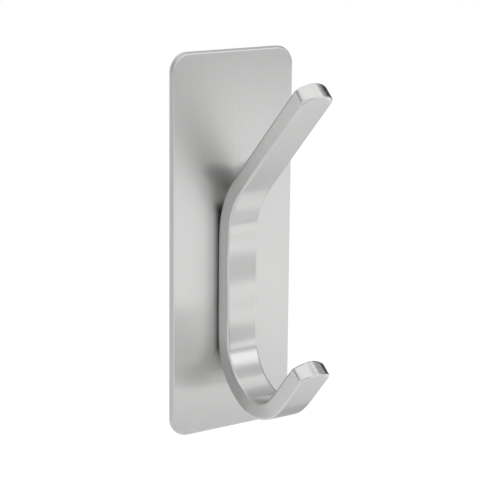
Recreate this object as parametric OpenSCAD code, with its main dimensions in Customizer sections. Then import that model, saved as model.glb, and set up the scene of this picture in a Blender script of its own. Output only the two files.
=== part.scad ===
// Adhesive wall hook in satin stainless steel: a thin back plate, one flat bar bent
// into a long upper prong and a short lower one, two plug welds that join them, and
// a foam pad with an adhesive layer on each side that holds the plate to a wall.
// Millimetres. The origin is the centre of the face that sticks to the wall, +Z is up
// and the prongs point along -Y.

/* [Back plate] */
// Width of the plate
plate_w = 30; // [24:0.5:44]
// Height of the plate
plate_h = 80; // [74:0.5:110]
// Thickness of the plate
plate_t = 1.2; // [0.8:0.1:2.5]
// Radius of the plate's corners, seen from the front
plate_corner_r = 4; // [2.5:0.1:8]
// Radius of the rounded edge all round the plate's front face
plate_edge_r = 0.6; // [0.2:0.05:0.7]

/* [Hook bar] */
// Width of the flat bar
bar_w = 7.6; // [6:0.1:10]
// Thickness of the flat bar
bar_t = 3.7; // [2.6:0.1:5]
// Radius of the bar's four long edges
bar_edge_r = 0.6; // [0.2:0.05:1]
// Length of the straight stretch that lies on the plate
seat_len = 20.6; // [16:0.1:26]
// Height of that stretch's lower end, measured from the plate's centre
seat_low = -19.2; // [-21:0.1:-16]

/* [Upper prong] */
// Inside radius of the upper bend
upper_bend_r = 15.1; // [6:0.1:18]
// Angle that the upper prong leans out from the plate
upper_angle = 44.3; // [30:0.1:52]
// Length of the upper prong from its bend to its end
upper_len = 30.2; // [14:0.1:36]
// Radius of the upper prong's arched end, seen square to the prong
upper_end_r = 5.5; // [5.5:0.1:12]
// How far back each corner of that arch is eased
upper_corner_cut = 0.8; // [0.4:0.05:1]

/* [Lower prong] */
// Inside radius of the wide first part of the lower bend
lead_bend_r = 11.7; // [9:0.1:14]
// Angle of that first part
lead_angle = 60; // [30:1:80]
// Inside radius of the tight second part of the lower bend
lower_bend_r = 7.7; // [5:0.1:9]
// Whole angle of the lower bend
lower_angle = 139; // [110:1:150]
// Length of the lower prong from its bend to its end
lower_len = 11.4; // [9:0.1:16]
// Radius of the lower prong's arched end, seen square to the prong
lower_end_r = 6; // [5.5:0.1:12]
// How far back each corner of that arch is eased
lower_corner_cut = 0.6; // [0.4:0.05:1]

/* [Prong ends] */
// Radius of the eased edges where an end face meets the bar's broad faces
end_edge_r = 0.35; // [0.1:0.05:0.6]

/* [Plug welds] */
// Diameter of each weld where it fills the plate
weld_d = 3.2; // [2:0.1:4]
// Diameter of each weld at its deepest point in the bar
weld_root_d = 2; // [1:0.1:2]
// Depth that each weld reaches into the bar
weld_depth = 0.8; // [0.4:0.1:1.5]
// Distance of each weld's centre from the nearer end of the straight stretch
weld_inset = 4; // [3:0.1:6]

/* [Adhesive pad] */
// Gap between the pad's outline and the plate's outline
pad_inset = 1.2; // [0.8:0.1:2]
// Thickness of the foam core
foam_t = 0.8; // [0.5:0.1:2]
// Thickness of each adhesive layer
film_t = 0.1; // [0.05:0.01:0.2]

/* [Hidden] */
$fn = 96;
// Distances out from the wall, through the layers
foam_back = film_t;
foam_front = foam_back + foam_t;
plate_back = foam_front + film_t;
plate_front = plate_back + plate_t;
bar_front = plate_front + bar_t;
// Heights of the straight stretch and of the welds in it
seat_high = seat_low + seat_len;
upper_weld_z = seat_high - weld_inset;
lower_weld_z = seat_low + weld_inset;
// Each stretch of the bar starts this far inside the one before it, and is this much
// thinner on every side, so that the two join across a clean end face
lap = 0.05;
step = 0.005;
// How far an end cutter runs past the bar's broad faces
proud = 0.02;

// A quarter of a disc, in the corner where X and Y are positive
module quarter(r) {
    intersection() {
        circle(r);
        square(r);
    }
}

// A centred rectangle with round corners
module round_rect(w, h, r) {
    square([w - 2 * r, h], center = true);
    square([w, h - 2 * r], center = true);
    for (x = [0, 1], y = [0, 1])
        mirror([x, 0]) mirror([0, y])
            translate([w / 2 - r, h / 2 - r]) quarter(r);
}

// Stands a side view up on the wall: its X runs out from the wall and its Y runs up
module side_on() {
    rotate([90, 0, -90]) children();
}

// Stands a front view up on the wall: its Z runs out from the wall
module face_on() {
    rotate([90, 0, 0]) children();
}

// A flat layer of the adhesive pad
module pad_layer(back, t) {
    face_on() translate([0, 0, back]) linear_extrude(t)
        round_rect(plate_w - 2 * pad_inset, plate_h - 2 * pad_inset,
                   plate_corner_r - pad_inset);
}

// The plug of metal that one weld leaves in the plate and in the bar
module weld_plug(z) {
    face_on() translate([0, z, 0]) {
        translate([0, 0, plate_back]) cylinder(d = weld_d, h = plate_t);
        translate([0, 0, plate_front])
            cylinder(d1 = weld_d, d2 = weld_root_d, h = weld_depth);
    }
}

// The section of the plate's rim, from the centre of a corner outwards
module rim_section() {
    square([plate_corner_r, plate_t - plate_edge_r]);
    square([plate_corner_r - plate_edge_r, plate_t]);
    translate([plate_corner_r - plate_edge_r, plate_t - plate_edge_r])
        quarter(plate_edge_r);
}

// The plate before its weld holes: a flat core, four sides and four corners
module plate_blank() {
    core = [plate_w / 2 - plate_corner_r, plate_h / 2 - plate_corner_r];
    linear_extrude(plate_t) square(2 * core, center = true);
    for (turn = [0, 180]) rotate(turn) {
        translate([core.x, core.y, 0]) rotate([90, 0, 0])
            linear_extrude(2 * core.y) rim_section();
        translate([-core.x, core.y, 0]) rotate([90, 0, 90])
            linear_extrude(2 * core.x) rim_section();
        translate([core.x, core.y, 0]) rotate_extrude(angle = 90) rim_section();
        translate([-core.x, core.y, 0]) rotate(90)
            rotate_extrude(angle = 90) rim_section();
    }
}

// The bar's section at a bend's inside radius. The link counts the joints between
// this stretch and the seat.
module bar_section(inside_r, link) {
    thinner = 2 * step * link;
    translate([inside_r + bar_t / 2, 0])
        round_rect(bar_t - thinner, bar_w - thinner, bar_edge_r);
}

// A straight stretch of bar that runs along +Y
module straight(inside_r, from, to, link) {
    translate([0, from, 0]) rotate([-90, 0, 0])
        linear_extrude(to - from) bar_section(inside_r, link);
}

// A bend round the origin that starts on the X axis and turns towards +Y. What
// follows it is drawn at its far end.
module bend(inside_r, angle, link) {
    back = lap / (inside_r + bar_t / 2) * 180 / PI;
    rotate(-back) rotate_extrude(angle = angle + back) bar_section(inside_r, link);
    rotate(angle) children();
}

// Half of the section of a round cutter that shapes a prong's end, from its axis out
// to its rim. It is a little thicker than the bar and both of its rims are eased.
module end_section(r) {
    translate([0, -proud]) square([r - end_edge_r, bar_t + 2 * proud]);
    translate([0, end_edge_r - proud]) square([r, bar_t + 2 * (proud - end_edge_r)]);
    translate([r - end_edge_r, end_edge_r - proud])
        mirror([0, 1]) quarter(end_edge_r);
    translate([r - end_edge_r, bar_t + proud - end_edge_r]) quarter(end_edge_r);
}

// A straight prong that starts at Y = 0 and ends in an arch. A second, smaller cutter
// on the prong's own line eases the corners between the arch and the bar's sides: its
// rim passes through one point on a side and one on the arch.
module prong(inside_r, length, end_r, corner_cut, link) {
    side = bar_w / 2;
    inner = side - corner_cut;
    side_y = sqrt(end_r * end_r - side * side) - corner_cut;
    arch_y = sqrt(end_r * end_r - inner * inner);
    ahead = (end_r * end_r - side_y * side_y - side * side) / (2 * (arch_y - side_y));
    root_len = length - end_r + ahead;
    straight(inside_r, -lap, root_len, link);
    intersection() {
        straight(inside_r, root_len, length, link);
        translate([inside_r, root_len - ahead, 0]) rotate([90, 0, 90])
            rotate_extrude() end_section(end_r);
        translate([inside_r, root_len, 0]) rotate([90, 0, 90])
            rotate_extrude() end_section(norm([side_y - ahead, side]));
    }
}

// The bar in side view, before its weld pockets
module bar_blank() {
    translate([plate_front, seat_low, 0]) straight(0, 0, seat_len, 0);
    translate([bar_front + upper_bend_r, seat_high, 0]) mirror([1, 0, 0])
        bend(upper_bend_r, upper_angle, 1)
            prong(upper_bend_r, upper_len, upper_end_r, upper_corner_cut, 2);
    translate([bar_front + lead_bend_r, seat_low, 0]) rotate(180)
        bend(lead_bend_r, lead_angle, 1) translate([lead_bend_r - lower_bend_r, 0, 0])
            bend(lower_bend_r, lower_angle - lead_angle, 2)
                prong(lower_bend_r, lower_len, lower_end_r, lower_corner_cut, 3);
}

module back_plate() {
    color("silver") difference() {
        face_on() translate([0, 0, plate_back]) plate_blank();
        weld_plug(upper_weld_z);
        weld_plug(lower_weld_z);
    }
}

module hook_bar() {
    color("lightgray") difference() {
        side_on() bar_blank();
        weld_plug(upper_weld_z);
        weld_plug(lower_weld_z);
    }
}

module upper_weld() {
    color("darkgray") weld_plug(upper_weld_z);
}

module lower_weld() {
    color("darkgray") weld_plug(lower_weld_z);
}

module foam_core() {
    color("whitesmoke") pad_layer(foam_back, foam_t);
}

module plate_side_adhesive() {
    color("gainsboro") pad_layer(foam_front, film_t);
}

module wall_side_adhesive() {
    color("gainsboro") pad_layer(0, film_t);
}

back_plate();
hook_bar();
upper_weld();
lower_weld();
foam_core();
plate_side_adhesive();
wall_side_adhesive();
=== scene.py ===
# %% [markdown]
# An adhesive wall hook in satin stainless steel. A thin plate sticks to the wall by a
# foam pad, and one flat bar is welded to it: a long prong leans out at the top and a
# short one curls up at the bottom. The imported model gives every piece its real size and
# place, in metres, with +Z up, the wall at Y = 0 and the prongs along -Y.

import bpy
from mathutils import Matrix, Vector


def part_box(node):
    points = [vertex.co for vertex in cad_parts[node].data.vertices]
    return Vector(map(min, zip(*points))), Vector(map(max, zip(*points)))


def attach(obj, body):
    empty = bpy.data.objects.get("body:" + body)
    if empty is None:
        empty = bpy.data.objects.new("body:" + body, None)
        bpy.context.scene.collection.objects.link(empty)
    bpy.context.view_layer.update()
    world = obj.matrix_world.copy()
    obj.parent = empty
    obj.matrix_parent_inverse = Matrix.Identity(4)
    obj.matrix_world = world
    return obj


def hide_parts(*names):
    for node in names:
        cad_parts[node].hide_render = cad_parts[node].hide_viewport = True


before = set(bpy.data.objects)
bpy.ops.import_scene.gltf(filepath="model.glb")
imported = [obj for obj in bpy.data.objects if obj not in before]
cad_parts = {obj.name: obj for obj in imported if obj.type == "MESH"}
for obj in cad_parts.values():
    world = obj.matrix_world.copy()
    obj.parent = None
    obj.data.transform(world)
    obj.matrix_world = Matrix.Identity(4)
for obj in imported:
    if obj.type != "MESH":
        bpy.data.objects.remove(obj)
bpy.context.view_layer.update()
print("nodes:", sorted(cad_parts))

# %% Modules and units
from math import asin, cos, pi, radians, sin, tan

import bpy
from mathutils import Vector

MM = 0.001
TINY = 1e-7
NEAR = 10 * TINY

# %% [markdown]
# Most steps below work in edit mode, where an operator acts on whatever is selected. So
# everything is deselected first, a primitive is added, and then its vertices, edges or
# faces are picked by their place. Three small helpers keep those steps short.

# %% Helpers: start a piece, pick parts of it and finish it
def start(name):
    """Names the primitive that was just added and applies its place and size."""
    piece = bpy.context.object
    piece.name = name
    piece.data.name = name
    bpy.ops.object.transform_apply(location=True, rotation=True, scale=True)
    return piece


def pick(piece, mode, test):
    """Selects the vertices, edges or faces whose corners all pass the test."""
    bpy.ops.object.mode_set(mode="EDIT")
    bpy.ops.mesh.select_mode(type=mode)
    bpy.ops.mesh.select_all(action="DESELECT")
    bpy.ops.object.mode_set(mode="OBJECT")
    mesh = piece.data
    items = {"VERT": mesh.vertices, "EDGE": mesh.edges, "FACE": mesh.polygons}[mode]
    count = 0
    for item in items:
        corners = [item.index] if mode == "VERT" else item.vertices
        item.select = test([mesh.vertices[i].co for i in corners])
        count += item.select
    bpy.ops.object.mode_set(mode="EDIT")
    return count


def apply_modifier(piece, kind, **settings):
    """Adds one modifier to the piece, sets it up and applies it."""
    bpy.ops.object.mode_set(mode="OBJECT")
    bpy.context.view_layer.objects.active = piece
    bpy.ops.object.modifier_add(type=kind)
    modifier = piece.modifiers[-1]
    for key, value in settings.items():
        setattr(modifier, key, value)
    bpy.ops.object.modifier_apply(modifier=modifier.name)


def only(piece):
    """Makes the piece the only selected object and the active one."""
    if bpy.context.object and bpy.context.object.mode != "OBJECT":
        bpy.ops.object.mode_set(mode="OBJECT")
    bpy.ops.object.select_all(action="DESELECT")
    piece.select_set(True)
    bpy.context.view_layer.objects.active = piece


def smooth(piece, angle=40):
    """Smooth shading in which large flat faces keep their true normals."""
    only(piece)
    bpy.ops.object.shade_smooth_by_angle(angle=radians(angle))
    apply_modifier(piece, "WEIGHTED_NORMAL", keep_sharp=True, weight=80)


# %% [markdown]
# The plate is stamped from 1.2 mm sheet. Its corners are round and its front edge has a
# soft rounded rim, which catches a thin line of light all the way round. It could be a
# curve with a bevel, but a cube keeps the back flat and lets each radius be set by
# itself: first the four corners are bevelled, then the front edge, then the back edge.

# %% Plate: a slab with round corners and a rounded front edge
plate_low, plate_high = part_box("back_plate")
PLATE_CORNER_R = 4.0 * MM
PLATE_EDGE_R = 0.6 * MM
PLATE_BACK_R = 0.12 * MM


def slab(name, low, high, corner_r, corner_segments):
    """A flat slab that fills a box, with its four corners rounded."""
    bpy.ops.object.select_all(action="DESELECT")
    bpy.ops.mesh.primitive_cube_add(size=1, location=(low + high) / 2)
    bpy.context.object.scale = high - low
    piece = start(name)
    depth = (high - low).y
    pick(piece, "EDGE", lambda ends: abs(abs(ends[0].y - ends[1].y) - depth) < TINY)
    bpy.ops.mesh.bevel(offset=corner_r, segments=corner_segments, affect="EDGES")
    return piece


def on_plane(y):
    """A test for edges and faces that lie on a plane square to Y."""
    return lambda points: all(abs(p.y - y) < TINY for p in points)


plate = slab("satin_plate", plate_low, plate_high, PLATE_CORNER_R, 20)
pick(plate, "EDGE", on_plane(plate_low.y))
bpy.ops.mesh.bevel(offset=PLATE_EDGE_R, segments=8, affect="EDGES")
pick(plate, "EDGE", on_plane(plate_high.y))
bpy.ops.mesh.bevel(offset=PLATE_BACK_R, segments=2, affect="EDGES")
print("plate:", len(plate.data.polygons), "faces")

# %% [markdown]
# Two holes go through the plate for the welds. The welds fill them, so they never show,
# but the mesh is also a result in itself and a real plate has them. A cylinder and a
# Boolean modifier drill each one.

# %% Weld holes in the plate
def drill(piece, tool_radius_back, tool_radius_front, back, front, x, z):
    """Cuts a round hole along Y, which may taper, out of a piece."""
    bpy.ops.object.mode_set(mode="OBJECT")
    bpy.ops.object.select_all(action="DESELECT")
    bpy.ops.mesh.primitive_cone_add(
        vertices=64, radius1=tool_radius_back, radius2=tool_radius_front,
        depth=back - front, location=(x, (back + front) / 2, z),
        rotation=(pi / 2, 0, 0))
    tool = start("drill")
    only(piece)
    apply_modifier(piece, "BOOLEAN", object=tool, operation="DIFFERENCE",
                   double_threshold=TINY)
    bpy.data.objects.remove(tool, do_unlink=True)


weld_low, weld_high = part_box("lower_weld")
WELD_R = (weld_high.x - weld_low.x) / 2
WELD_ROOT_R = 1.0 * MM
weld_heights = [sum(box[i].z for i in (0, 1)) / 2
                for box in (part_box("lower_weld"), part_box("upper_weld"))]
for height in weld_heights:
    drill(plate, WELD_R, WELD_R, plate_high.y + MM, plate_low.y - MM, 0, height)
smooth(plate)
print("weld holes at", [round(h / MM, 2) for h in weld_heights], "mm")

# %% [markdown]
# The hook is one flat bar. The maker cuts a straight length, rounds its ends and its
# long edges, and only then bends it. The same order works here: a straight bar is easy
# to shape, and a Curve modifier bends it afterwards. It also leaves a true record of
# the bar before bending, which the brushed grain can follow round each bend. The upper
# prong is drawn 0.07 mm short, because the bar runs that far past the eased line's end.

# %% Bar: its sizes
bar_low, bar_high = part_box("hook_bar")
BAR_W = bar_high.x - bar_low.x
BAR_T = 3.7 * MM
BAR_EDGE_R = 0.6 * MM
SEAT_LEN = 20.6 * MM
SEAT_LOW = -19.2 * MM
UPPER_BEND_R = 15.1 * MM
UPPER_ANGLE = radians(44.3)
UPPER_LEN = 30.13 * MM
LEAD_BEND_R = 11.7 * MM
LEAD_ANGLE = radians(60)
LOWER_BEND_R = 7.7 * MM
LOWER_ANGLE = radians(139)
LOWER_LEN = 11.4 * MM

seat_out = -bar_high.y + BAR_T / 2
mid_upper = UPPER_BEND_R + BAR_T / 2
mid_lead = LEAD_BEND_R + BAR_T / 2
mid_lower = LOWER_BEND_R + BAR_T / 2
lower_turn = LOWER_ANGLE - LEAD_ANGLE
SEAT_START = LOWER_LEN + mid_lower * lower_turn + mid_lead * LEAD_ANGLE
BAR_LEN = SEAT_START + SEAT_LEN + mid_upper * UPPER_ANGLE + UPPER_LEN
print("straight length of the bar:", round(BAR_LEN / MM, 2), "mm")

# %% [markdown]
# The line that the bar is bent along is drawn flat on the bench: X runs out from the
# wall and Y runs up. One edge is the stretch that lies on the plate. Its ends are spun
# round the centre of each bend and then extruded straight on to the tips. A press
# doesn't start a bend abruptly, so the line is then smoothed a little where a straight
# stretch meets a bend. That moves it by only a few hundredths of a millimetre, but it
# keeps hard lines out of the reflections.

# %% Bar: the line it is bent along
STEP = 0.1 * MM
EASE_REACH = 3 * MM
EASE_STEPS = 300


def spin_end(line, tip, centre, angle, radius):
    """Spins the vertex at the tip round a centre, and returns the new tip. The Spin
    tool counts its angle clockwise, so it is given the angle with its sign changed."""
    pick(line, "VERT", lambda p: (p[0] - tip).length < NEAR)
    steps = round(abs(angle) * radius / STEP)
    bpy.ops.mesh.spin(steps=steps, angle=-angle, center=centre, axis=(0, 0, 1))
    arm = tip - centre
    turned = Vector((arm.x * cos(angle) - arm.y * sin(angle),
                     arm.x * sin(angle) + arm.y * cos(angle), 0))
    return centre + turned


def extend_end(line, tip, direction, length):
    """Extrudes the vertex at the tip straight on, and divides the new edge."""
    pick(line, "VERT", lambda p: (p[0] - tip).length < NEAR)
    bpy.ops.mesh.extrude_region_move(
        TRANSFORM_OT_translate={"value": direction * length})
    end = tip + direction * length
    near = [tip, end]
    pick(line, "EDGE", lambda ends: all(
        min((p - q).length for q in near) < NEAR for p in ends))
    bpy.ops.mesh.subdivide(number_cuts=round(length / STEP))
    return end


bpy.ops.object.select_all(action="DESELECT")
bpy.ops.mesh.primitive_plane_add(
    size=SEAT_LEN,
    location=(seat_out + SEAT_LEN / 2, SEAT_LOW + SEAT_LEN / 2, 0))
line = start("bend_line")
pick(line, "VERT", lambda p: p[0].x > seat_out + TINY)
bpy.ops.mesh.delete(type="VERT")
bpy.ops.mesh.select_all(action="SELECT")
bpy.ops.mesh.subdivide(number_cuts=round(SEAT_LEN / STEP))

bottom = Vector((seat_out, SEAT_LOW, 0))
top = Vector((seat_out, SEAT_LOW + SEAT_LEN, 0))
joints = [bottom, top]
upper_centre = top + Vector((mid_upper, 0, 0))
top = spin_end(line, top, upper_centre, -UPPER_ANGLE, mid_upper)
joints.append(top)
top = extend_end(line, top, Vector((sin(UPPER_ANGLE), cos(UPPER_ANGLE), 0)), UPPER_LEN)
lead_centre = bottom + Vector((mid_lead, 0, 0))
bottom = spin_end(line, bottom, lead_centre, LEAD_ANGLE, mid_lead)
joints.append(bottom)
lower_centre = bottom + Vector((cos(LEAD_ANGLE), sin(LEAD_ANGLE), 0)) * mid_lower
bottom = spin_end(line, bottom, lower_centre, lower_turn, mid_lower)
joints.append(bottom)
bottom = extend_end(
    line, bottom, Vector((sin(LOWER_ANGLE), -cos(LOWER_ANGLE), 0)), LOWER_LEN)
eased = pick(line, "VERT", lambda p: any((p[0] - j).length < EASE_REACH for j in joints))
bpy.ops.mesh.vertices_smooth(factor=0.5, repeat=EASE_STEPS)
print("eased points of the line:", eased)
print("tips of the line:", [tuple(round(c / MM, 2) for c in p[:2]) for p in (top, bottom)])

# %% Bar: turn the drawn line into a curve that starts at the lower tip
only(line)
bpy.ops.object.convert(target="CURVE")
line = bpy.context.object
line.data.dimensions = "2D"
first, last = [line.data.splines[0].points[i].co.to_3d() for i in (0, -1)]
if (first - bottom).length > (last - bottom).length:
    bpy.ops.object.mode_set(mode="EDIT")
    bpy.ops.curve.select_all(action="SELECT")
    bpy.ops.curve.switch_direction()
    bpy.ops.object.mode_set(mode="OBJECT")
line_len = sum(spline.calc_length() for spline in line.data.splines)
print("curves:", len(line.data.splines), "length:", round(line_len / MM, 2), "mm")

# %% [markdown]
# The straight bar lies along X, from its lower tip at 0 to its upper tip. Its width is
# along Z and its thickness along Y, with the front face at the negative side. Each end
# is ground to a shallow arch with small round corners. The Bisect tool does the same
# work as the grinding wheel: each cut takes off what lies beyond one upright plane. The
# blank starts a millimetre longer at each end, so that there is something to grind.

# %% Bar: a straight blank with arched ends
UPPER_END_R = 5.2 * MM
UPPER_CORNER_R = 0.6 * MM
LOWER_END_R = 6.0 * MM
LOWER_CORNER_R = 0.6 * MM
ARCH_STEP = radians(2.5)
CORNER_STEPS = 7


def arch_reach(end_r, corner_r):
    """The angle from the middle of an arch to the start of its round corner."""
    return asin((BAR_W / 2 - corner_r) / (end_r - corner_r))


def grind(tip_x, side, end_r, corner_r):
    """Cuts an arch with round corners on one end. side is 1 for the end at large X and
    -1 for the end at X = 0. Returns the X at which the corners start."""
    reach = arch_reach(end_r, corner_r)
    arch_x = tip_x - side * end_r
    corner_x = arch_x + side * (end_r - corner_r) * cos(reach)
    steps = round(reach / ARCH_STEP)
    cuts = []
    for i in range(-steps, steps + 1):
        turn = reach * i / steps
        cuts.append((arch_x + side * end_r * cos(turn), end_r * sin(turn), turn))
    for i in range(1, CORNER_STEPS):
        turn = reach + (pi / 2 - reach) * i / CORNER_STEPS
        x = corner_x + side * corner_r * cos(turn)
        z = BAR_W / 2 - corner_r + corner_r * sin(turn)
        cuts += [(x, z, turn), (x, -z, -turn)]
    for x, z, turn in cuts:
        bpy.ops.mesh.select_all(action="SELECT")
        bpy.ops.mesh.bisect(
            plane_co=(x, 0, z), plane_no=(side * cos(turn), 0, sin(turn)),
            use_fill=True, clear_outer=True, threshold=TINY)
    return corner_x


def divide(at, normal):
    """Cuts a ring of edges round the bar without taking anything off."""
    bpy.ops.mesh.select_all(action="SELECT")
    bpy.ops.mesh.bisect(plane_co=at, plane_no=normal, threshold=TINY)


bpy.ops.object.select_all(action="DESELECT")
bpy.ops.mesh.primitive_cube_add(size=1, location=(BAR_LEN / 2, 0, 0))
bpy.context.object.scale = (BAR_LEN + 2 * MM, BAR_T, BAR_W)
bar = start("satin_bar")
bpy.ops.object.mode_set(mode="EDIT")
upper_corner_x = grind(BAR_LEN, 1, UPPER_END_R, UPPER_CORNER_R)
lower_corner_x = grind(0, -1, LOWER_END_R, LOWER_CORNER_R)
rings = (lower_corner_x + MM, upper_corner_x - MM)
for x in rings:
    divide((x, 0, 0), (1, 0, 0))
bpy.ops.object.mode_set(mode="OBJECT")
print("blank:", len(bar.data.polygons), "faces")

# %% [markdown]
# The middle of the bar is one long box, so it has no vertices to bend at. Its four long
# edges are subdivided into short steps. Then each sharp edge is given its own radius by
# a bevel weight. On the end faces the rim is crisp in the middle of the arch and gets
# softer towards the corners, as a rim that was eased by hand does. The two corners of
# the front face are eased most. One Bevel modifier then rounds them all.

# %% Bar: divide it along its length
RING_STEP = 0.35 * MM


def along_middle(ends):
    """True for the four long edges between the two rings."""
    places = sorted(p.x for p in ends)
    return all(abs(a - b) < NEAR for a, b in zip(places, rings))


found = pick(bar, "EDGE", along_middle)
bpy.ops.mesh.subdivide(number_cuts=round((rings[1] - rings[0]) / RING_STEP))
bpy.ops.object.mode_set(mode="OBJECT")
print("long edges:", found, "faces now:", len(bar.data.polygons))

# %% Bar: round every sharp edge by its own radius
END_EDGE_R = 0.3 * MM
FRONT_CORNER_R = 1.0 * MM


def bevel_width(ends):
    """The width of the bevel on an edge of the straight bar, or 0."""
    a, b = ends
    if a.y * b.y < 0 or abs(abs(a.y) - BAR_T / 2) > TINY:
        return 0
    if abs(a.x - b.x) < TINY and abs(a.z - b.z) > BAR_W / 2:
        return 0
    x, z = (a.x + b.x) / 2, abs(a.z + b.z) / 2
    upper = x > BAR_LEN / 2
    end_r = UPPER_END_R if upper else LOWER_END_R
    corner_r = UPPER_CORNER_R if upper else LOWER_CORNER_R
    reach = arch_reach(end_r, corner_r)
    corner_width = FRONT_CORNER_R if a.y < 0 else BAR_EDGE_R
    past = x - upper_corner_x if upper else lower_corner_x - x
    if past < 0:
        return BAR_EDGE_R
    if z > end_r * sin(reach):
        blend = min(1, past / (corner_r * cos(reach)))
        return BAR_EDGE_R + (corner_width - BAR_EDGE_R) * blend
    near_corner = asin(z / end_r) / reach
    return END_EDGE_R + (corner_width - END_EDGE_R) * near_corner ** 2


weights = bar.data.attributes.new("bevel_weight_edge", "FLOAT", "EDGE")
for edge in bar.data.edges:
    width = bevel_width([bar.data.vertices[i].co for i in edge.vertices])
    weights.data[edge.index].value = width / FRONT_CORNER_R
apply_modifier(bar, "BEVEL", limit_method="WEIGHT", width=FRONT_CORNER_R, segments=6,
               offset_type="OFFSET", use_clamp_overlap=False)
print("rounded:", len(bar.data.polygons), "faces")

# %% Bar: pockets for the welds in its back
pocket_depth = bar_high.y - weld_low.y
for height in weld_heights:
    drill(bar, WELD_R, WELD_ROOT_R, BAR_T / 2, BAR_T / 2 - pocket_depth,
          SEAT_START + height - SEAT_LOW, 0)
print("pockets:", round(pocket_depth / MM, 2), "mm deep")

# %% [markdown]
# Before the bar is bent, two records are kept for its finish. A UV map from a cube
# projection runs along the bar on every long face, and gives the shader the direction
# of the grain. An attribute keeps each vertex's straight position, so that the grain
# itself is drawn along the straight bar and bends with it.

# %% Bar: keep its straight position and its UV map
bpy.ops.object.mode_set(mode="EDIT")
bpy.ops.mesh.select_all(action="SELECT")
bpy.ops.uv.cube_project(cube_size=BAR_LEN, correct_aspect=False)
bpy.ops.object.mode_set(mode="OBJECT")
bar.data.uv_layers[0].name = "grain"
straight = bar.data.attributes.new("straight", "FLOAT_VECTOR", "POINT")
for vertex in bar.data.vertices:
    straight.data[vertex.index].vector = vertex.co
print("places kept:", len(straight.data))

# %% Bar: bend it and stand it up on the wall
only(bar)
apply_modifier(bar, "CURVE", object=line, deform_axis="POS_X")
bpy.data.objects.remove(line)
bar.rotation_euler = (pi / 2, 0, -pi / 2)
bpy.ops.object.transform_apply(location=True, rotation=True, scale=True)
smooth(bar)
corners = [bar.matrix_world @ Vector(c) for c in bar.bound_box]
print("bar now reaches", [round(v / MM, 2) for v in (
    min(c.x for c in corners), max(c.x for c in corners),
    min(c.y for c in corners), max(c.y for c in corners),
    min(c.z for c in corners), max(c.z for c in corners))], "mm")
print("CAD bar reaches", [round(v / MM, 2) for v in (
    bar_low.x, bar_high.x, bar_low.y, bar_high.y, bar_low.z, bar_high.z)], "mm")

# %% [markdown]
# A mounting pad sits behind the plate: a thin foam core with a skin of adhesive on each
# side. The foam is die-cut, so its outline is clean, but the soft sheet swells a little
# between the two faces that hold it. So the slab is made a tenth of a millimetre small,
# cut into thin layers, and each layer is scaled out by the amount that it swells.

# %% Mounting pad: the foam core
PAD_CORNER_R = 2.8 * MM
FOAM_SWELL = 0.12 * MM
FOAM_CUTS = (0.12, 0.3, 0.5, 0.7, 0.88)
foam_low, foam_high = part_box("foam_core")
swell = Vector((FOAM_SWELL, 0, FOAM_SWELL))
foam = slab("foam_pad", foam_low + swell, foam_high - swell, PAD_CORNER_R, 10)
foam_t = foam_high.y - foam_low.y
layers = [(share, 1 - (2 * share - 1) ** 2) for share in FOAM_CUTS]
for share, amount in layers:
    y = foam_low.y + share * foam_t
    bpy.ops.mesh.select_all(action="SELECT")
    bpy.ops.mesh.bisect(plane_co=(0, y, 0), plane_no=(0, 1, 0), threshold=TINY)
for share, amount in layers:
    pick(foam, "VERT", on_plane(foam_low.y + share * foam_t))
    bpy.ops.transform.resize(value=(
        1 + amount * FOAM_SWELL / (foam_high.x - FOAM_SWELL), 1,
        1 + amount * FOAM_SWELL / (foam_high.z - FOAM_SWELL)))
smooth(foam)
print("foam:", len(foam.data.polygons), "faces")

# %% [markdown]
# The two adhesive skins are flat sheets a tenth of a millimetre thick. They are slabs
# like the plate, with only a hint of rounding where the die pressed their edges.

# %% Mounting pad: the adhesive skins
SKIN_EDGE_R = 0.03 * MM


def adhesive_skin(name, node):
    """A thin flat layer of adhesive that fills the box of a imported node."""
    low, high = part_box(node)
    skin = slab(name, low, high, PAD_CORNER_R, 10)
    pick(skin, "EDGE", lambda ends: on_plane(low.y)(ends) or on_plane(high.y)(ends))
    bpy.ops.mesh.bevel(offset=SKIN_EDGE_R, segments=2, affect="EDGES")
    smooth(skin)
    return skin


plate_skin = adhesive_skin("plate_side_skin", "plate_side_adhesive")
wall_skin = adhesive_skin("wall_side_skin", "wall_side_adhesive")
print("skins:", len(plate_skin.data.polygons), "faces each")

# %% [markdown]
# Every piece is rigid with the wall mount, so they all ride on the root. Each takes the
# place of one imported solid. The two welds are hidden, so their imported solids stay as
# they are.

# %% Bodies, with a slot name listed beside each piece
new_pieces = (
    (plate, "back_plate", "plate_steel"),
    (bar, "hook_bar", "bar_steel"),
    (foam, "foam_core", "foam"),
    (plate_skin, "plate_side_adhesive", "adhesive"),
    (wall_skin, "wall_side_adhesive", "adhesive"),
)
for piece, node, slot in new_pieces:
    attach(piece, "root")
    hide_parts(node)
print("new pieces:", [piece.name for piece, node, slot in new_pieces])

# %% [markdown]
# The view is from the left and a little above, from almost 40 cm away and through a long
# lens, so that upright lines stay nearly parallel. The camera is placed by two angles and
# a distance from the point that it looks at. It is turned by the same angles and then
# rolled by half a degree.

# %% Camera
CAMERA_AZIMUTH = radians(-35.578)
CAMERA_ELEVATION = radians(12.443)
CAMERA_ROLL = radians(0.515)
CAMERA_DISTANCE = 378.0 * MM
CAMERA_AIM = Vector((1.26, -3.0, 0.38)) * MM
CAMERA_LENS = 136.8

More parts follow.
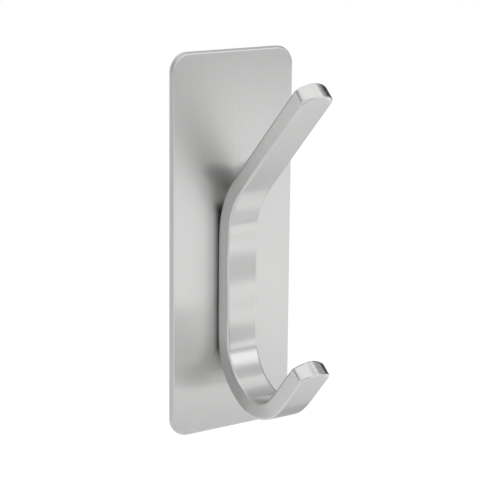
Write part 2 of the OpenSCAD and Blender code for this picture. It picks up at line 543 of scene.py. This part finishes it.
bpy.ops.object.camera_add()
camera = bpy.context.object
camera.data.lens = CAMERA_LENS
camera.data.sensor_width = 36
camera.data.clip_start = 0.01
back_along = Vector((sin(CAMERA_AZIMUTH) * cos(CAMERA_ELEVATION),
                     -cos(CAMERA_AZIMUTH) * cos(CAMERA_ELEVATION),
                     sin(CAMERA_ELEVATION)))
camera.location = CAMERA_AIM + back_along * CAMERA_DISTANCE
camera.rotation_euler = (pi / 2 - CAMERA_ELEVATION, 0, CAMERA_AZIMUTH)
camera.rotation_euler.rotate_axis("Z", CAMERA_ROLL)
bpy.context.scene.camera = camera
print("camera at", [round(v / MM, 1) for v in camera.location], "mm")

# %% [markdown]
# Every finish is a small node tree. A few helpers make an empty one, add the patterns
# that the finishes share, and do arithmetic on their values, so that each finish below
# reads as a short recipe.

# %% Helpers: an empty material, and a piece covered with one
def new_material(name):
    """A material with an empty node tree, its output and its main shader."""
    material = bpy.data.materials.new(name)
    material.use_nodes = True
    tree = material.node_tree
    tree.nodes.clear()
    output = tree.nodes.new("ShaderNodeOutputMaterial")
    shader = tree.nodes.new("ShaderNodeBsdfPrincipled")
    tree.links.new(shader.outputs["BSDF"], output.inputs["Surface"])
    return material, tree, shader


def cover(piece, material):
    """Makes one material the piece's only one."""
    piece.data.materials.clear()
    piece.data.materials.append(material)


# %% Helpers: patterns
def noise(tree, vector, scale, detail=3.0, roughness=0.5):
    """A noise texture on a vector, and its value from 0 to 1."""
    node = tree.nodes.new("ShaderNodeTexNoise")
    node.inputs["Scale"].default_value = scale
    node.inputs["Detail"].default_value = detail
    node.inputs["Roughness"].default_value = roughness
    tree.links.new(vector, node.inputs["Vector"])
    return node.outputs["Fac"]


def stretched(tree, vector, stretch):
    """The vector with each of its axes multiplied by a number."""
    node = tree.nodes.new("ShaderNodeMapping")
    node.inputs["Scale"].default_value = stretch
    tree.links.new(vector, node.inputs["Vector"])
    return node.outputs["Vector"]


def to_range(tree, value, low, high):
    """The middle half of a value's range moved to another range."""
    node = tree.nodes.new("ShaderNodeMapRange")
    node.inputs["From Min"].default_value = 0.25
    node.inputs["From Max"].default_value = 0.75
    node.inputs["To Min"].default_value = low
    node.inputs["To Max"].default_value = high
    tree.links.new(value, node.inputs["Value"])
    return node.outputs["Result"]


def grey_ramp(tree, value, dark, light):
    """A colour between two greys, chosen by a value."""
    node = tree.nodes.new("ShaderNodeValToRGB")
    ends = node.color_ramp.elements
    ends[0].position = 0.3
    ends[0].color = (*dark, 1)
    ends[1].position = 0.7
    ends[1].color = (*light, 1)
    tree.links.new(value, node.inputs["Fac"])
    return node.outputs["Color"]


def bump(tree, height, distance, strength, before=None):
    """Turns a height from 0 to 1 into a normal, on top of an earlier one if given."""
    node = tree.nodes.new("ShaderNodeBump")
    node.inputs["Strength"].default_value = strength
    node.inputs["Distance"].default_value = distance
    tree.links.new(height, node.inputs["Height"])
    if before:
        tree.links.new(before, node.inputs["Normal"])
    return node.outputs["Normal"]


# %% Helpers: arithmetic on values
def arithmetic(tree, operation, first, second=None):
    """One step of arithmetic on a value and a value or number."""
    node = tree.nodes.new("ShaderNodeMath")
    node.operation = operation
    tree.links.new(first, node.inputs[0])
    if isinstance(second, (int, float)):
        node.inputs[1].default_value = second
    elif second:
        tree.links.new(second, node.inputs[1])
    return node.outputs["Value"]


def axes_of(tree, vector):
    """The X, Y and Z of a vector."""
    node = tree.nodes.new("ShaderNodeSeparateXYZ")
    tree.links.new(vector, node.inputs["Vector"])
    return [node.outputs[axis] for axis in "XYZ"]


def soft_step(tree, value, start_at, end_at, low, high):
    """A value that goes smoothly from low to high between two places."""
    node = tree.nodes.new("ShaderNodeMapRange")
    node.interpolation_type = "SMOOTHSTEP"
    node.inputs["From Min"].default_value = start_at
    node.inputs["From Max"].default_value = end_at
    node.inputs["To Min"].default_value = low
    node.inputs["To Max"].default_value = high
    tree.links.new(value, node.inputs["Value"])
    return node.outputs["Result"]


def shaded(tree, tone, level):
    """A colour times a level."""
    node = tree.nodes.new("ShaderNodeVectorMath")
    node.operation = "SCALE"
    tree.links.new(tone, node.inputs[0])
    tree.links.new(level, node.inputs["Scale"])
    return node.outputs["Vector"]


# %% [markdown]
# The finish is brushed stainless steel. Metal has no colour of its own apart from its
# reflections, so the look comes from three things: a base colour near the real
# reflectance of steel, a roughness that lets shapes in the studio show as soft bands,
# and anisotropy, which smears the reflection across the grain and keeps it crisper
# along it. Noise that is stretched along the grain changes the tone and the height by
# very little, because the real finish is fine and even.

# %% Satin steel
STEEL_DARK = (0.575, 0.575, 0.57)
STEEL_LIGHT = (0.59, 0.59, 0.585)
ROUGHNESS_SWING = 0.005
GRAIN_HEIGHT = 0.001 * MM


def satin_steel(name, place, grain, roughness, anisotropy=0, turn=0, shade=None,
                ripple=None):
    """Brushed steel. place gives the vector that the grain is drawn on, grain is how finely
    each of its axes is divided and turn is the anisotropic rotation. shade paints shade or
    light into the tone in places, and ripple adds a waviness along the bar."""
    material, tree, shader = new_material(name)
    vector = place(tree)
    fine = noise(tree, stretched(tree, vector, grain), 1.0, 4.0, 0.6)
    cloud = noise(tree, vector, 60.0, 2.0)
    tone = grey_ramp(tree, fine, STEEL_DARK, STEEL_LIGHT)
    tree.links.new(shade(tree, vector, tone) if shade else tone,
                   shader.inputs["Base Color"])
    tree.links.new(to_range(tree, cloud, roughness - ROUGHNESS_SWING,
                            roughness + ROUGHNESS_SWING), shader.inputs["Roughness"])
    low = ripple(tree, vector) if ripple else None
    tree.links.new(bump(tree, fine, GRAIN_HEIGHT, 0.3, low), shader.inputs["Normal"])
    if anisotropy:
        tangent = tree.nodes.new("ShaderNodeTangent")
        tangent.direction_type = "UV_MAP"
        tangent.uv_map = "grain"
        tree.links.new(tangent.outputs["Tangent"], shader.inputs["Tangent"])
    shader.inputs["Metallic"].default_value = 1
    shader.inputs["Anisotropic"].default_value = anisotropy
    shader.inputs["Anisotropic Rotation"].default_value = turn
    print(name, "has", len(tree.nodes), "nodes")
    return material


# %% [markdown]
# The grain needs a place to be drawn on and a direction. The plate's grain runs up it,
# so it is drawn on the plate's own coordinates. The bar's is drawn on the straight
# position that was kept before bending. The direction comes from each piece's UV map,
# which the Tangent node reads, and the plate still lacks one.

# %% Plate: its UV map
only(plate)
bpy.ops.object.mode_set(mode="EDIT")
bpy.ops.mesh.select_all(action="SELECT")
bpy.ops.uv.cube_project(cube_size=0.1, correct_aspect=False)
bpy.ops.object.mode_set(mode="OBJECT")
plate.data.uv_layers[0].name = "grain"
print("plate's UV maps:", [layer.name for layer in plate.data.uv_layers])


# %% The two places that grain is drawn on
def object_place(tree):
    """The piece's own coordinates."""
    return tree.nodes.new("ShaderNodeTexCoord").outputs["Object"]


def straight_place(tree):
    """The bar's place before it was bent."""
    node = tree.nodes.new("ShaderNodeAttribute")
    node.attribute_name = "straight"
    return node.outputs["Vector"]


# %% [markdown]
# The plate's colour has painted shade in three places. A dark band lies in the corner beside
# the bar, where the bar's reflection and shadow fall. A dark patch lies behind the foot of
# the upper prong and slants up to both sides, standing for the reflection and shadow of the
# bar's back. The rounded rim is a little darker than the flat front, standing for its darker
# reflection. Each of the three is a level, and the steel's colour is multiplied by all of
# them.

# %% Plate: its finish and its painted shade
PLATE_GRAIN = (2600, 2600, 40)
# Painted shade in the corner beside the bar, for the bar's reflection and shadow there.
GROOVE_FROM = BAR_W / 2 - 0.4 * MM
GROOVE_TO = BAR_W / 2 + 1.5 * MM
GROOVE_MIDDLE = SEAT_LOW + SEAT_LEN / 2 + 1.5 * MM
GROOVE_REACH = (12 * MM, 17.5 * MM)
GROOVE_TONE = 0.4
# Painted shade behind the foot of the upper prong, for the reflection and shadow of the
# bar's back.
SPOT_HEIGHT = 12.8 * MM
SPOT_SLANT = 0.4
SPOT_REACH = 3.6 * MM
SPOT_TONE = 0.55
# Painted shade on the plate's rounded rim.
RIM_FROM = 0.02 * MM
RIM_TO = 0.15 * MM
RIM_TONE = 0.86


def plate_painted_shade(tree, vector, tone):
    """Painted shade beside the bar, behind the upper prong and on the rim."""
    x, y, z = axes_of(tree, vector)
    aside = arithmetic(tree, "ABSOLUTE", x)
    beside = soft_step(tree, aside, GROOVE_FROM, GROOVE_TO, GROOVE_TONE, 1)
    off_middle = arithmetic(tree, "ABSOLUTE", arithmetic(tree, "SUBTRACT", z, GROOVE_MIDDLE))
    groove = arithmetic(tree, "MAXIMUM", beside,
                        soft_step(tree, off_middle, *GROOVE_REACH, 0, 1))
    slant = arithmetic(tree, "MULTIPLY", aside, SPOT_SLANT)
    above = arithmetic(tree, "SUBTRACT", arithmetic(tree, "SUBTRACT", z, SPOT_HEIGHT), slant)
    off_spot = arithmetic(tree, "ADD", arithmetic(tree, "MULTIPLY", slant, slant),
                          arithmetic(tree, "MULTIPLY", above, above))
    spot = soft_step(tree, off_spot, 0, SPOT_REACH ** 2, SPOT_TONE, 1)
    rim = soft_step(tree, y, plate_low.y + RIM_FROM, plate_low.y + RIM_TO, 1, RIM_TONE)
    level = arithmetic(tree, "MULTIPLY", arithmetic(tree, "MULTIPLY", groove, spot), rim)
    return shaded(tree, tone, level)


# The plate's steel carries its painted shade.
plate_finish = satin_steel("plate_finish", object_place, PLATE_GRAIN, 0.289, 0.92,
                           shade=plate_painted_shade)
cover(plate, plate_finish)

# %% [markdown]
# Soft bands lie across the bar's straight stretch, as if bending had left a ripple in
# it. The outline of the bar is straight, so no ripple is modelled. The finish draws one,
# several times as high as a real one could be, so that the bands are plain to see. A
# Wave texture does that on the straight bar, with 20 radians to a unit at a scale of 1.
# It leans a little, so that one slope of each wave is steeper than the other, and it
# fades out in the bends. The stops of that fade are in millimetres from the lower tip.

# %% Bar: the ripple along its straight stretch
RIPPLE_LENGTH = 16 * MM
RIPPLE_HEIGHT = 0.54 * MM
RIPPLE_PHASE = 5.733
RIPPLE_MIDDLE = 48 * MM
RIPPLE_LEAN = 60
RIPPLE_STOPS = ((26, 0), (39, 1), (57, 1), (73, 0))
WAVE_RADIANS = 20


def bend_ripple(tree, vector):
    """A ripple along the straight stretch, which fades out in the bends."""
    wave = tree.nodes.new("ShaderNodeTexWave")
    wave.bands_direction = "X"
    wave.inputs["Scale"].default_value = 2 * pi / WAVE_RADIANS / RIPPLE_LENGTH
    wave.inputs["Phase Offset"].default_value = RIPPLE_PHASE
    tree.links.new(vector, wave.inputs["Vector"])
    along = axes_of(tree, vector)[0]
    fade = tree.nodes.new("ShaderNodeValToRGB")
    fade.color_ramp.interpolation = "EASE"
    stops = fade.color_ramp.elements
    while len(stops) < len(RIPPLE_STOPS):
        stops.new(0.5)
    for stop, (place, level) in zip(stops, RIPPLE_STOPS):
        stop.position = place * MM / BAR_LEN
        stop.color = (level, level, level, 1)
    tree.links.new(arithmetic(tree, "DIVIDE", along, BAR_LEN), fade.inputs["Fac"])
    swing = arithmetic(tree, "SUBTRACT", wave.outputs["Fac"], 0.5)
    lean = arithmetic(tree, "MULTIPLY", arithmetic(tree, "SUBTRACT", along, RIPPLE_MIDDLE),
                      RIPPLE_LEAN)
    height = arithmetic(tree, "MULTIPLY", arithmetic(tree, "ADD", swing, lean),
                        fade.outputs["Color"])
    return bump(tree, height, RIPPLE_HEIGHT, 1)


# %% [markdown]
# The bar's broad faces are brushed finely, its two sides are rougher from the saw, and its
# ground ends are smooth, with no grain. The rounded edges have painted shade, which makes
# them darker than the broad faces. On the sides the lower bend has painted shade and the
# seat beside the plate a painted highlight. Both stand for the reflections that those places
# show.

# %% Bar: its three finishes, with painted light and shade
BAR_GRAIN = (40, 2600, 2600)
END_GRAIN = (400, 400, 400)
GRAIN_TURN = 0.25
# Painted shade on the bar's rounded edges.
EDGE_FROM = BAR_T / 2 - 0.3 * MM
EDGE_TO = BAR_T / 2 - 0.02 * MM
# Painted shade on the sides at the lower bend, and a painted highlight along the seat.
INTO_BEND = (12 * MM, 18 * MM)
INTO_SEAT = (34 * MM, 40 * MM)
PAST_SEAT = (58 * MM, 70 * MM)
BEND_TONE = 0.87
SEAT_TONE = 1.13


def edge_painted_shade(tree, vector, tone):
    """Painted shade on the bar's rounded edges."""
    out = arithmetic(tree, "ABSOLUTE", axes_of(tree, vector)[1])
    return shaded(tree, tone, soft_step(tree, out, EDGE_FROM, EDGE_TO, RIM_TONE, 1))


def side_painted_light_and_shade(tree, vector, tone):
    """Painted shade on the sides of the lower bend, and a painted highlight along the seat.
    """
    along = axes_of(tree, vector)[0]
    prong = soft_step(tree, along, *INTO_BEND, 1 - BEND_TONE, 0)
    seat = soft_step(tree, along, *INTO_SEAT, BEND_TONE, SEAT_TONE)
    past = soft_step(tree, along, *PAST_SEAT, 0, 1 - SEAT_TONE)
    level = arithmetic(tree, "ADD", arithmetic(tree, "ADD", prong, seat), past)
    return shaded(tree, tone, level)


# The broad faces carry painted shade on their rounded edges, and the sides carry painted
# shade at the lower bend and a painted highlight along the seat.
bar_finish = satin_steel("bar_finish", straight_place, BAR_GRAIN, 0.289, 0.65, GRAIN_TURN,
                         edge_painted_shade, bend_ripple)
side_finish = satin_steel("side_finish", straight_place, BAR_GRAIN, 0.48, 0.6, GRAIN_TURN,
                          side_painted_light_and_shade)
end_finish = satin_steel("end_finish", straight_place, END_GRAIN, 0.2)

# %% Bar: the finish of each of its faces
cover(bar, bar_finish)
bar.data.materials.append(side_finish)
bar.data.materials.append(end_finish)
kept = bar.data.attributes["straight"].data
for face in bar.data.polygons:
    places = [kept[i].vector for i in face.vertices]
    on_side = all(abs(abs(p.z) - BAR_W / 2) < 0.01 * MM for p in places)
    at_end = all(p.x < lower_corner_x + 0.01 * MM or p.x > upper_corner_x - 0.01 * MM
                 for p in places)
    on_face = all(abs(abs(p.y) - BAR_T / 2) < TINY for p in places)
    if on_side:
        face.material_index = 1
    elif at_end and not on_face:
        face.material_index = 2
kinds = [face.material_index for face in bar.data.polygons]
print("bar faces by finish:", [kinds.count(i) for i in range(3)])

# %% [markdown]
# The welds are hidden between the plate and the bar. They are rougher and darker than
# the brushed steel, as weld metal is, with the uneven surface of a bead ground flush.

# %% Weld metal
weld_finish, tree, shader = new_material("weld_finish")
place = object_place(tree)
lumps = noise(tree, place, 900.0, 5.0, 0.65)
tree.links.new(grey_ramp(tree, lumps, (0.36, 0.35, 0.33), (0.5, 0.49, 0.47)),
               shader.inputs["Base Color"])
tree.links.new(to_range(tree, lumps, 0.4, 0.65), shader.inputs["Roughness"])
tree.links.new(bump(tree, lumps, 0.05 * MM, 0.6), shader.inputs["Normal"])
shader.inputs["Metallic"].default_value = 1
print("weld finish:", len(tree.nodes), "nodes")

# %% [markdown]
# The pad's foam is white closed-cell foam. Its cells only show on the cut edge and as a
# fine unevenness, so a Voronoi pattern of small cells gives both the height and a
# slight change of tone, and a slow noise changes how rough the sheet is.

# %% Foam
foam_finish, tree, shader = new_material("foam_finish")
place = object_place(tree)
cells = tree.nodes.new("ShaderNodeTexVoronoi")
cells.feature = "F1"
cells.inputs["Scale"].default_value = 4200.0
tree.links.new(place, cells.inputs["Vector"])
cell_height = to_range(tree, cells.outputs["Distance"], 0.0, 1.0)
slow = noise(tree, place, 150.0)
tree.links.new(grey_ramp(tree, cell_height, (0.7, 0.7, 0.685), (0.82, 0.82, 0.81)),
               shader.inputs["Base Color"])
tree.links.new(to_range(tree, slow, 0.75, 0.9), shader.inputs["Roughness"])
tree.links.new(bump(tree, cell_height, 0.08 * MM, 0.7), shader.inputs["Normal"])
shader.inputs["Sheen Weight"].default_value = 0.2
shader.inputs["Specular IOR Level"].default_value = 0.3
cover(foam, foam_finish)
print("foam finish:", len(tree.nodes), "nodes")

# %% [markdown]
# The adhesive is a clear, faintly yellow film. It is softly glossy, and where the liner
# was peeled off it keeps long, very low ripples.

# %% Adhesive
adhesive_finish, tree, shader = new_material("adhesive_finish")
place = object_place(tree)
ripples = noise(tree, stretched(tree, place, (420, 420, 140)), 1.0, 3.0)
specks = noise(tree, place, 2600.0, 2.0)
tree.links.new(grey_ramp(tree, ripples, (0.74, 0.73, 0.68), (0.81, 0.8, 0.76)),
               shader.inputs["Base Color"])
tree.links.new(to_range(tree, specks, 0.3, 0.48), shader.inputs["Roughness"])
rippled = bump(tree, ripples, 0.05 * MM, 0.5)
tree.links.new(bump(tree, specks, 0.01 * MM, 0.4, rippled), shader.inputs["Normal"])
shader.inputs["Coat Weight"].default_value = 0.15
shader.inputs["Coat Roughness"].default_value = 0.3
cover(plate_skin, adhesive_finish)
cover(wall_skin, adhesive_finish)
print("adhesive finish:", len(tree.nodes), "nodes")

# %% [markdown]
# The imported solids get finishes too. The two welds stay in the scene as they are. The
# solid plate and bar have no UV map, so theirs is a steel without a grain direction.

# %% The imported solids
PLAIN_GRAIN = (2600, 2600, 400)
plain_finish = satin_steel("plain_finish", object_place, PLAIN_GRAIN, 0.3)
finishes = {"back_plate": plain_finish, "hook_bar": plain_finish, "upper_weld": weld_finish,
            "lower_weld": weld_finish, "foam_core": foam_finish,
            "plate_side_adhesive": adhesive_finish, "wall_side_adhesive": adhesive_finish}
for name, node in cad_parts.items():
    cover(node, finishes[name])
print("packed solids covered:", len(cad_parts))

# %% [markdown]
# The hook hangs in a white room. A white floor lies far below it, so its shadow there is
# faint and out of view, and a white world closes the room.

# %% Floor and world
FLOOR_DROP = 250 * MM
world = bpy.context.scene.world or bpy.data.worlds.new("studio")
bpy.context.scene.world = world
world.use_nodes = True
world.node_tree.nodes["Background"].inputs["Color"].default_value = (1, 1, 1, 1)
world.node_tree.nodes["Background"].inputs["Strength"].default_value = 1.0

bpy.ops.object.select_all(action="DESELECT")
bpy.ops.mesh.primitive_plane_add(size=12, location=(0, 0, -FLOOR_DROP))
floor = start("floor")
floor_finish, tree, shader = new_material("floor_finish")
shader.inputs["Base Color"].default_value = (1, 1, 1, 1)
shader.inputs["Roughness"].default_value = 1
shader.inputs["Specular IOR Level"].default_value = 0
cover(floor, floor_finish)
print("floor at", round(-FLOOR_DROP / MM), "mm")

# %% [markdown]
# Satin steel in an even white room looks like plaster. What makes it look like metal is
# a room with lighter and darker parts, which it shows as soft bands. So plain grey cards
# and wide soft lamps stand all round the hook, turned towards it and hidden from the
# camera. Each is placed by the direction in which the hook sees it and by the angles
# that it covers, because a reflection knows nothing else about it. The cards cast no
# shadow and take no part in diffuse light: they only shape the reflections.

# %% Cards and lamps: where they stand
FAR_CARD = 0.8
FLOOR_CLEARANCE = 0.94


def toward(azimuth, elevation):
    """The direction from the hook at an azimuth and elevation in degrees. The azimuth
    is 0 straight out from the wall and 90 to the right."""
    a, e = radians(azimuth), radians(elevation)
    return Vector((sin(a) * cos(e), -cos(a) * cos(e), sin(e)))


def facing(azimuth, elevation):
    """The turn that makes a card or lamp at that place face the hook."""
    return toward(azimuth, elevation).to_track_quat("Z", "Y").to_euler()


def stand(elevation, high):
    """How far from the hook a card can stand without going through the floor."""
    lowest = sin(radians(elevation - high / 2))
    if lowest >= 0:
        return FAR_CARD
    return min(FAR_CARD, FLOOR_CLEARANCE * FLOOR_DROP / -lowest)


def span(degrees, distance):
    """The size of something that covers an angle at a distance."""
    return 2 * distance * tan(radians(degrees / 2))


# %% Cards and lamps: how each is made
def card(name, azimuth, elevation, wide, high, level):
    """A grey card that faces the hook. Its width and height are given as the angles
    that it covers, in degrees."""
    distance = stand(elevation, high)
    bpy.ops.object.select_all(action="DESELECT")
    bpy.ops.mesh.primitive_plane_add(
        size=1, location=toward(azimuth, elevation) * distance,
        rotation=facing(azimuth, elevation))
    bpy.context.object.scale = (span(wide, distance), span(high, distance), 1)
    piece = start(name)
    material, tree, shader = new_material(name)
    shader.inputs["Base Color"].default_value = (level, level, level, 1)
    shader.inputs["Roughness"].default_value = 1
    shader.inputs["Specular IOR Level"].default_value = 0
    cover(piece, material)
    piece.visible_camera = False
    piece.visible_diffuse = False
    piece.visible_shadow = False


def soft_lamp(name, azimuth, elevation, wide, high, level):
    """A rectangular lamp that faces the hook. It adds to the white room behind it, so
    a level of 1.3 has a glow of 0.3. A lamp's glow is its power over 4 times its area."""
    distance = stand(elevation, high)
    bpy.ops.object.light_add(
        type="AREA", location=toward(azimuth, elevation) * distance,
        rotation=facing(azimuth, elevation))
    lamp = bpy.context.object
    lamp.name = name
    lamp.data.shape = "RECTANGLE"
    lamp.data.size = span(wide, distance)
    lamp.data.size_y = span(high, distance)
    lamp.data.energy = (level - 1) * 4 * lamp.data.size * lamp.data.size_y
    lamp.visible_camera = False


# %% [markdown]
# The plate and the bar's straight stretch look to the right and a little down. Each bend
# sweeps the reflection on from there: the lower one up past the front cards to the lamp
# overhead, the upper one down to the floor. The other cards show on the ends, the
# rounded edges and the sides of the bar, and from other views. The levels started from
# a study that lit the hook from one direction at a time and solved for the brightness
# in the photo. More than half of them were then changed by comparing the two pictures.

# %% The studio's cards and lamps
STUDIO = (
    # name, azimuth, elevation, width, height and level, where 1 is the white room
    ("front_floor", 36, -39, 56, 16, 0.85),
    ("front_low", 36, -25.5, 58, 9, 0.76),
    ("front_middle", 36, -12, 60, 14, 1.16),
    ("front_horizon", 36, 0, 62, 10, 0.68),
    ("front_light", 36, 27, 56, 30, 1.42),
    ("front_high", 36, 51, 42, 20, 0.7),
    ("right_light", 83, -14, 30, 26, 1.2),
    ("right_front", 82, 22, 30, 46, 0.5),
    ("right_top_light", 82, 53, 20, 14, 1.4),
    ("right_back", 118, 14, 34, 48, 0.06),
    ("right_high", 113, 55, 40, 14, 0.45),
    ("right_floor", 113, -57, 16, 18, 0.45),
    ("back_floor", 128, -38, 44, 24, 0.5),
    ("left_back", -138, 11, 34, 34, 0.85),
    ("left_low", -102, -12, 34, 24, 0.8),
    ("left_high", -102, 30, 30, 58, 0.35),
    ("left_front", -67, 15, 32, 78, 0.78),
    ("camera_side", -36, 15, 26, 78, 0.95),
    ("centre", -8, 0, 26, 16, 0.54),
    ("centre_floor", -8, -42, 22, 34, 0.66),
    ("top_light", 60, 89, 60, 60, 1.22),
)
for name, azimuth, elevation, wide, high, level in STUDIO:
    make = card if level < 1 else soft_lamp
    make(name, azimuth, elevation, wide, high, level)
print("cards and lamps:", len(STUDIO))

bpy.context.scene.view_settings.view_transform = "Standard"

# %% [markdown]
# Last, the plate is made the only selected object and the active one.

# %% The plate selected
only(plate)
